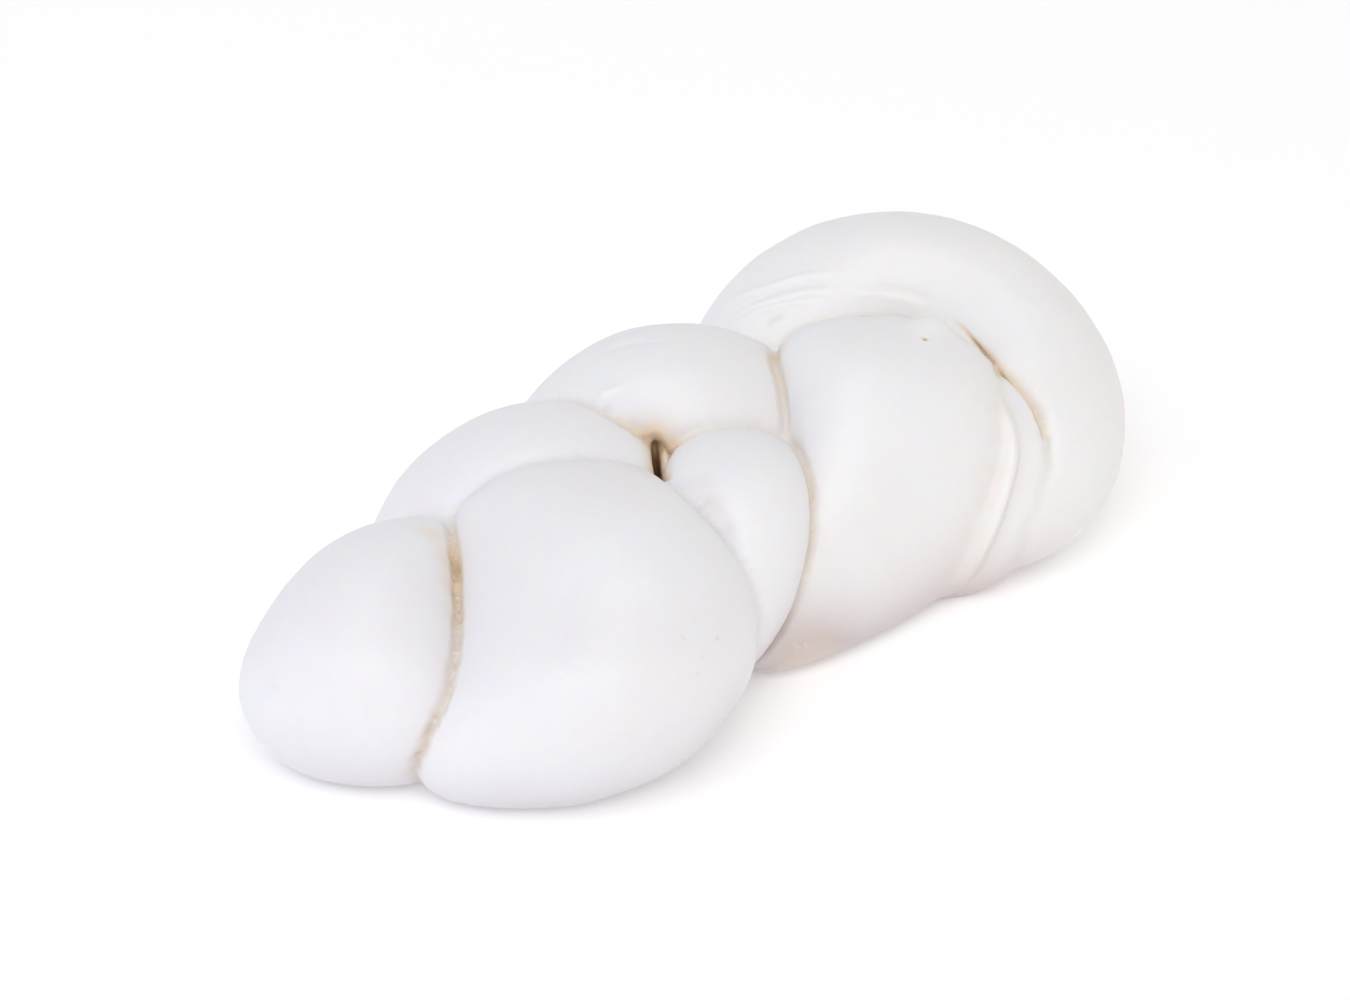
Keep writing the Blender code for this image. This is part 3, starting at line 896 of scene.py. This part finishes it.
def braid_mesh():
    """The braid's points and faces, and each point's painted groove tint, painted groove shade, painted
    underside shade and strand coordinates.
    """
    points, faces, made = pressed_together()
    lobe_index = np.repeat(np.arange(len(made)), [len(lobe[1]) for lobe in made])
    lobe_along = np.concatenate([lobe[2] for lobe in made])
    lobe_turn = np.concatenate([lobe[3] for lobe in made])
    lobe_tree = tree_of(np.vstack([lobe[1] for lobe in made]))
    index, _ = nearest(lobe_tree, points)

    # The curd has run together beside its grooves, and their lines move with it.
    lines, line_tree, anchors = groove_lines(points, faces, lobe_index[index])
    line, gap = nearest(line_tree, points)
    rim_tree = tree_of(rim_of(points, faces, lobe_index[index]))
    _, rim = nearest(rim_tree, points)
    soft = np.maximum(falloff(gap, lines[line, 6]), falloff(rim, RIM_SOFT))
    points = softened(points, faces, SOFT_SHARE * soft, SOFT_ROUNDS)
    lines[:, :3] = points[anchors].mean(axis=1)
    line_tree = tree_of(lines[:, :3])
    pulls = pull_spots()
    pull_tree = tree_of(pulls[:, :3])
    points, faces = refined(points, faces, line_tree, rim_tree, pulls, pull_tree)

    index, _ = nearest(lobe_tree, points)
    line, gap = nearest(line_tree, points)
    _, rim = nearest(rim_tree, points)
    pull, aside = nearest(pull_tree, points)
    depth = lines[line, 3]
    # Painted shade beside the grooves, fullest where they are deep.
    shade = spread(falloff(gap, SHADE_REACH) * np.clip(depth / SHADE_DEPTH, 0, 1), faces, RELIEF_ROUNDS)
    # Painted shade tint: in the grooves, on the slit's rim and down its walls, in listed spots and in the
    # pulled dips.
    wall = np.interp(rim, (0.0, WALL_DEPTH), (RIM_PAINTED_SHADE, WALL_PAINTED_SHADE))
    skin = np.maximum(lines[line, 5] * falloff(gap, lines[line, 7]), RIM_PAINTED_SHADE * falloff(rim, RIM_SOFT))
    tint = np.where(lobe_index[index] >= len(LOBES), wall, skin)
    tint = spread(tint, faces, TINT_ROUNDS) + gathered(points, PAINTED_BROWN_SHADE)
    folded = falloff(aside, pulls[pull, 4])
    tint = np.maximum(tint, pulls[pull, 5] * folded)

    # Grooves are pinched in, and folds and marks stand out or lie in, along the skin's own direction.
    inward, _ = normals_of(points, faces)
    inward = -unit(spread(inward, faces, DIRECTION_ROUNDS) + 1e-9)
    pinch = spread(depth * falloff(gap, lines[line, 4]), faces, RELIEF_ROUNDS)
    points = points + inward * (pinch - pulls[pull, 3] * folded)[:, None]
    points, tint = marked(points, tint, inward)
    points[:, 2] = np.maximum(points[:, 2], FOOT_HEIGHT)
    strand = strand_places(lobe_turn[index], lobe_along[index], lobe_index[index])
    return points, faces, np.clip(tint, 0.0, 1.0), shade, painted_under_shade(points, faces), strand


def in_cad_box(points):
    """Points in metres, laid exactly into the solid's box."""
    low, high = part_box(NODE)
    low, high = np.array(low), np.array(high)
    mine_low, mine_high = points.min(0), points.max(0)
    return (points - mine_low) / (mine_high - mine_low) * (high - low) + low


def braid_object():
    points, faces, tint, shade, under, strand = braid_mesh()
    points = in_cad_box(points)
    mesh = bpy.data.meshes.new("curd_braid")
    mesh.from_pydata(points.tolist(), [], faces.tolist())
    mesh.update()
    mesh.shade_smooth()
    mesh.set_sharp_from_angle(angle=SHARP_ANGLE)
    # Painted groove tint, painted groove shade and painted underside shade, read by the material.
    for name, values in (("tint", tint), ("shade", shade), ("under", under)):
        attribute = mesh.attributes.new(name, "FLOAT", "POINT")
        attribute.data.foreach_set("value", values.astype(np.float32))
    attribute = mesh.attributes.new("strand", "FLOAT_VECTOR", "POINT")
    attribute.data.foreach_set("vector", strand.astype(np.float32).ravel())
    obj = bpy.data.objects.new("curd_braid", mesh)
    bpy.context.scene.collection.objects.link(obj)
    obj.data.materials.append(curd_material())
    return obj


# ---------------------------------------------------------------- materials

# The curd at the loose ends and at the fold, painted cool and warm as the light from the left and right
# falls, and what its clouds, fibres and the painted shade of its grooves take from it.
PLAIT_WHITE_PAINTED_COOL = (0.888, 0.896, 0.945, 1.0)
FOLD_WHITE_PAINTED_WARM = (0.905, 0.903, 0.892, 1.0)
CLOUD_DIM = (0.985, 0.97, 0.955, 1.0)
FIBRE_DIM = (0.965, 0.96, 0.955, 1.0)
GROOVE_PAINTED_SHADE = (0.97, 0.95, 0.93, 1.0)

# What the painted underside shade takes from the curd at the loose ends and at the fold, pinker at the
# fold, and the painted shade and warm bounce light in the grooves, pale and deep.
PLAIT_PAINTED_SHADE = (0.76, 0.74, 0.76, 1.0)
FOLD_PAINTED_SHADE = (0.66, 0.55, 0.54, 1.0)
# Painted warm bounce light and shade in the grooves: gold, and dark brown where deep.
GROOVE_PAINTED_GOLD = (0.82, 0.68, 0.50, 1.0)
GROOVE_PAINTED_DARK = (0.34, 0.20, 0.10, 1.0)

# The floor's white, and how strongly it glows.
FLOOR_WHITE = (0.92, 0.92, 0.92, 1.0)
FLOOR_GLOW = 0.2


def mixed(tree, factor, first, second, blend="MIX"):
    """A colour mix node: its inputs are sockets or plain values."""
    node = tree.nodes.new("ShaderNodeMix")
    node.data_type = "RGBA"
    node.blend_type = blend
    for name, value in (("Factor", factor), ("A", first), ("B", second)):
        if isinstance(value, (float, tuple)):
            node.inputs[name].default_value = value
        else:
            tree.links.new(value, node.inputs[name])
    return node.outputs["Result"]


def dimmed(tree, share, colour, by):
    """A colour multiplied by another where the share is 1."""
    return mixed(tree, share, colour, mixed(tree, 1.0, colour, by, "MULTIPLY"))


def ranged(tree, value, low, high, to_low=0.0, to_high=1.0, curve="LINEAR"):
    """A value mapped from one range to another, kept inside it."""
    node = tree.nodes.new("ShaderNodeMapRange")
    node.interpolation_type = curve
    node.inputs["From Min"].default_value = low
    node.inputs["From Max"].default_value = high
    node.inputs["To Min"].default_value = to_low
    node.inputs["To Max"].default_value = to_high
    tree.links.new(value, node.inputs["Value"])
    return node.outputs["Result"]


def clouded(tree, place, scale, detail, rough=0.5):
    """Noise of so many cells a metre, or a strand unit, at a place."""
    node = tree.nodes.new("ShaderNodeTexNoise")
    node.inputs["Scale"].default_value = scale
    node.inputs["Detail"].default_value = detail
    node.inputs["Roughness"].default_value = rough
    tree.links.new(place, node.inputs["Vector"])
    return node.outputs["Fac"]


def attribute_of(tree, name, output="Fac"):
    node = tree.nodes.new("ShaderNodeAttribute")
    node.attribute_name = name
    return node.outputs[output]


def bumped(tree, height, distance, strength, normal=None):
    """The surface's direction, tilted by a height of so many metres."""
    node = tree.nodes.new("ShaderNodeBump")
    node.inputs["Distance"].default_value = distance
    node.inputs["Strength"].default_value = strength
    tree.links.new(height, node.inputs["Height"])
    if normal:
        tree.links.new(normal, node.inputs["Normal"])
    return node.outputs["Normal"]


def curd_material():
    material = bpy.data.materials.new("buffalo_curd")
    material.use_nodes = True
    tree = material.node_tree
    links = tree.links
    shader = tree.nodes["Principled BSDF"]
    shader.inputs["Subsurface Weight"].default_value = 1.0
    shader.inputs["Subsurface Radius"].default_value = (1.0, 0.8, 0.6)
    shader.inputs["Subsurface Scale"].default_value = 0.002
    shader.inputs["Coat Weight"].default_value = 0.08
    shader.inputs["Coat Roughness"].default_value = 0.28

    place = tree.nodes.new("ShaderNodeTexCoord").outputs["Object"]
    strand = attribute_of(tree, "strand", "Vector")
    split = tree.nodes.new("ShaderNodeSeparateXYZ")
    links.new(place, split.inputs["Vector"])
    # Painted light: cooler white towards the loose ends, warmer white towards the fold.
    along = ranged(tree, split.outputs["X"], -0.1, 0.1)
    base = mixed(tree, along, PLAIT_WHITE_PAINTED_COOL, FOLD_WHITE_PAINTED_WARM)
    cloud = ranged(tree, clouded(tree, place, 32.0, 2.0), 0.35, 0.65)
    base = dimmed(tree, cloud, base, CLOUD_DIM)
    fibre = ranged(tree, clouded(tree, strand, 0.9, 4.0, 0.65), 0.3, 0.7, 0.0, 0.25)
    base = dimmed(tree, fibre, base, FIBRE_DIM)
    # Painted shade beside the grooves.
    base = dimmed(tree, attribute_of(tree, "shade"), base, GROOVE_PAINTED_SHADE)
    # Painted shade low down, on the side turned from the light and in listed spots, pinker towards the
    # fold.
    under_shade_colour = mixed(tree, along, PLAIT_PAINTED_SHADE, FOLD_PAINTED_SHADE)
    base = dimmed(tree, attribute_of(tree, "under"), base, under_shade_colour)
    # Painted shade and warm bounce light in the grooves, dips, pits and slit: gold, then dark brown.
    tint = attribute_of(tree, "tint")
    base = mixed(tree, ranged(tree, tint, 0.0, 0.6), base, GROOVE_PAINTED_GOLD)
    base = mixed(tree, ranged(tree, tint, 0.5, 1.0), base, GROOVE_PAINTED_DARK)
    links.new(base, shader.inputs["Base Color"])

    rough = ranged(tree, clouded(tree, place, 60.0, 3.0), 0.3, 0.7, 0.42, 0.55)
    links.new(rough, shader.inputs["Roughness"])
    normal = bumped(tree, clouded(tree, strand, 0.5, 3.0, 0.5), 0.0003, 0.12)
    normal = bumped(tree, clouded(tree, place, 900.0, 3.0), 0.00006, 0.35, normal)
    links.new(normal, shader.inputs["Normal"])
    return material


def floor_material():
    material = bpy.data.materials.new("pale_floor")
    material.use_nodes = True
    shader = material.node_tree.nodes["Principled BSDF"]
    shader.inputs["Base Color"].default_value = FLOOR_WHITE
    shader.inputs["Roughness"].default_value = 0.9
    shader.inputs["Specular IOR Level"].default_value = 0.1
    shader.inputs["Emission Color"].default_value = (1.0, 1.0, 1.0, 1.0)
    shader.inputs["Emission Strength"].default_value = FLOOR_GLOW
    return material


# ---------------------------------------------------------------- stage, light and camera

# The surround: how bright it is at the horizon and overhead, its colours on the left and on the
# right as the camera sees them, and the direction to that right.
HORIZON_STRENGTH = 0.72
ZENITH_STRENGTH = 0.45
COOL_WHITE = (0.95, 0.965, 1.04, 1.0)
WARM_WHITE = (1.10, 1.07, 1.045, 1.0)
RIGHTWARDS = (0.799, -0.602, 0.0)

# A light: azimuth and elevation in degrees, distance and size in metres, power, colour, and whether
# it shades the curd. One that doesn't is seen only as a soft sheen.
LIGHTS = {
    "front": (-40, 62, 3.0, 2.6, 38.0, (1.0, 0.985, 0.97), True),
    "left": (-105, 50, 3.0, 2.0, 9.5, (0.86, 0.89, 1.0), True),
    "sheen": (167, 80, 3.0, 0.9, 10.0, (1.0, 1.0, 1.0), False),
}

CAMERA_AZIMUTH = math.radians(-37.0)
CAMERA_ELEVATION = math.radians(35.0)
CAMERA_DISTANCE = 0.63162
CAMERA_TARGET = Vector((-0.00120, 0.00323, 0.02144))


def away_towards(azimuth, elevation):
    """The direction out to a camera or light: azimuth 0 is the side that looks along +Y."""
    level = math.cos(elevation)
    return Vector((math.sin(azimuth) * level, -math.cos(azimuth) * level, math.sin(elevation)))


def make_camera():
    data = bpy.data.cameras.new("camera")
    data.lens = 86.0
    data.sensor_width = 36.0
    camera = bpy.data.objects.new("camera", data)
    back = away_towards(CAMERA_AZIMUTH, CAMERA_ELEVATION)
    camera.location = CAMERA_TARGET + back * CAMERA_DISTANCE
    camera.rotation_mode = "QUATERNION"
    camera.rotation_quaternion = (-back).to_track_quat("-Z", "Y")
    data.clip_start = 0.01
    data.clip_end = 50.0
    bpy.context.scene.collection.objects.link(camera)
    bpy.context.scene.camera = camera


def area_light(name, azimuth, elevation, distance, size, energy, colour, shades):
    data = bpy.data.lights.new(name, "AREA")
    data.shape = "DISK"
    data.size = size
    data.energy = energy
    data.color = colour
    light = bpy.data.objects.new(name, data)
    light.visible_diffuse = shades
    back = away_towards(math.radians(azimuth), math.radians(elevation))
    light.location = back * distance
    light.rotation_mode = "QUATERNION"
    light.rotation_quaternion = (-back).to_track_quat("-Z", "Y")
    bpy.context.scene.collection.objects.link(light)


def make_stage():
    half = 4.0
    corners = [(-half, -half, 0), (half, -half, 0), (half, half, 0), (-half, half, 0)]
    mesh = bpy.data.meshes.new("floor")
    mesh.from_pydata(corners, [], [(0, 1, 2, 3)])
    floor = bpy.data.objects.new("floor", mesh)
    mesh.materials.append(floor_material())
    bpy.context.scene.collection.objects.link(floor)


def make_world():
    """A white surround, brighter at the horizon than overhead, cool on the left and warm on the right."""
    world = bpy.data.worlds.new("studio")
    bpy.context.scene.world = world
    world.use_nodes = True
    tree = world.node_tree
    background = tree.nodes["Background"]
    place = tree.nodes.new("ShaderNodeTexCoord").outputs["Generated"]
    split = tree.nodes.new("ShaderNodeSeparateXYZ")
    tree.links.new(place, split.inputs["Vector"])
    height = split.outputs["Z"]
    strength = ranged(tree, height, 0.05, 0.75, HORIZON_STRENGTH, ZENITH_STRENGTH, "SMOOTHSTEP")
    tree.links.new(strength, background.inputs["Strength"])
    across = tree.nodes.new("ShaderNodeVectorMath")
    across.operation = "DOT_PRODUCT"
    across.inputs[1].default_value = RIGHTWARDS
    tree.links.new(place, across.inputs[0])
    share = ranged(tree, across.outputs["Value"], -0.8, 0.8, curve="SMOOTHSTEP")
    tree.links.new(mixed(tree, share, COOL_WHITE, WARM_WHITE), background.inputs["Color"])


def make_light():
    make_world()
    for name, values in LIGHTS.items():
        area_light(name, *values)
    view = bpy.context.scene.view_settings
    view.view_transform = "Standard"
    view.look = "None"
    view.exposure = 0.0


make_camera()
make_stage()
make_light()
braid = braid_object()
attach(braid, "root")
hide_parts(NODE)
